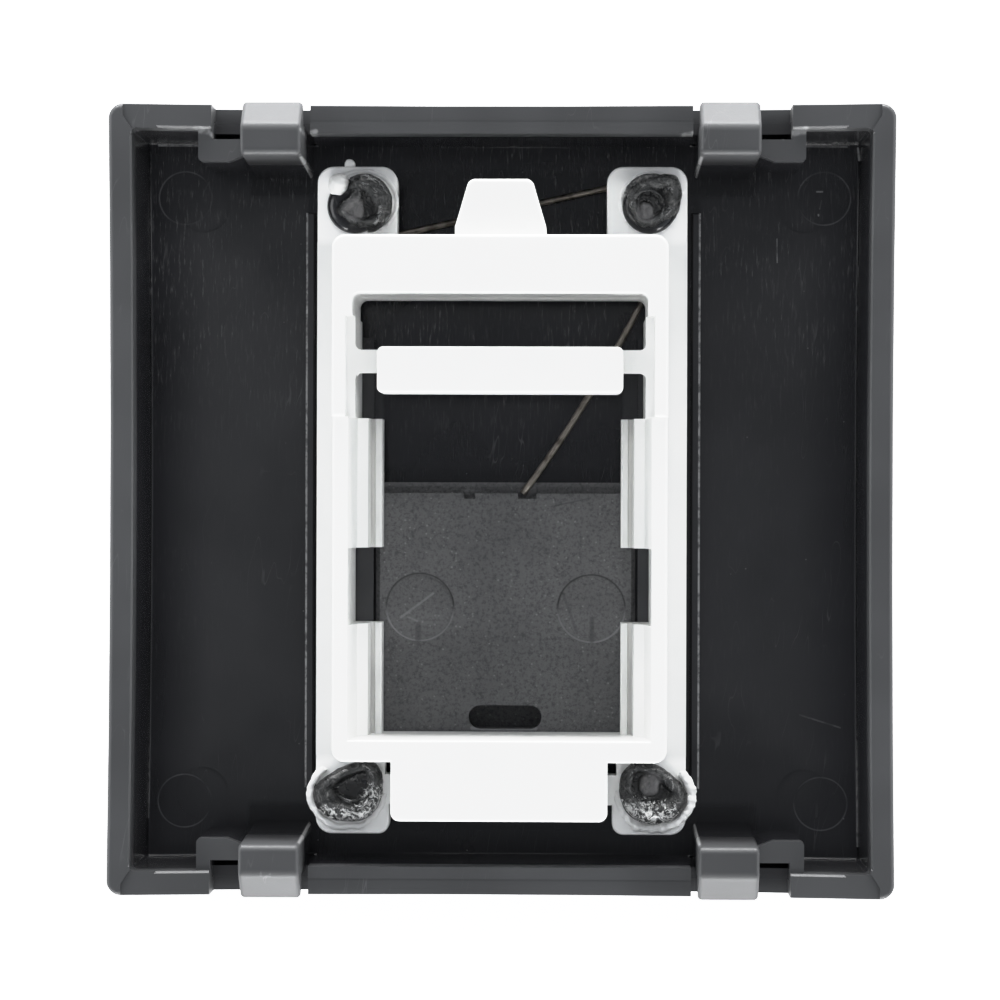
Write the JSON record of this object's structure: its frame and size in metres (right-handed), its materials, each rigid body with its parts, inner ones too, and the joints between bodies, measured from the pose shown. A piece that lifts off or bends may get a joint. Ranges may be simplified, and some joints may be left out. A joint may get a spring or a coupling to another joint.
{
  "type": "keystone faceplate",
  "caption": "Square 45 mm keystone data faceplate, open at the back, with a staked white jack holder and a sprung dust shutter that slides.",
  "frame": {"origin": "centre of the plate's front face, which lies on the ground", "axes": "+X across the plate to the right seen from behind, +Y up the plate, +Z from the front face out of the open back"},
  "size_m": [0.0452, 0.0456, 0.0115],
  "materials": {
    "graphite_plastic": "moulded graphite black, glossy inside, with satin outer walls",
    "white_plastic": "moulded white, smooth",
    "shutter_plastic": "fine spark-eroded texture",
    "spring_steel": "drawn wire, dull"
  },
  "bodies": {
    "plate": {"faceplate": "graphite_plastic", "keystone_holder": "white_plastic", "shutter_spring": "spring_steel"},
    "shutter": {"shutter": "shutter_plastic"}
  },
  "joints": [
    {"name": "shutter_slide", "type": "slide", "parent": "plate", "child": "shutter", "axis": [0, 1, 0], "range_m": [0, 0.012], "stiffness_N_per_m": 30, "springref_m": -0.01, "deforming": ["shutter_spring"]}
  ]
}
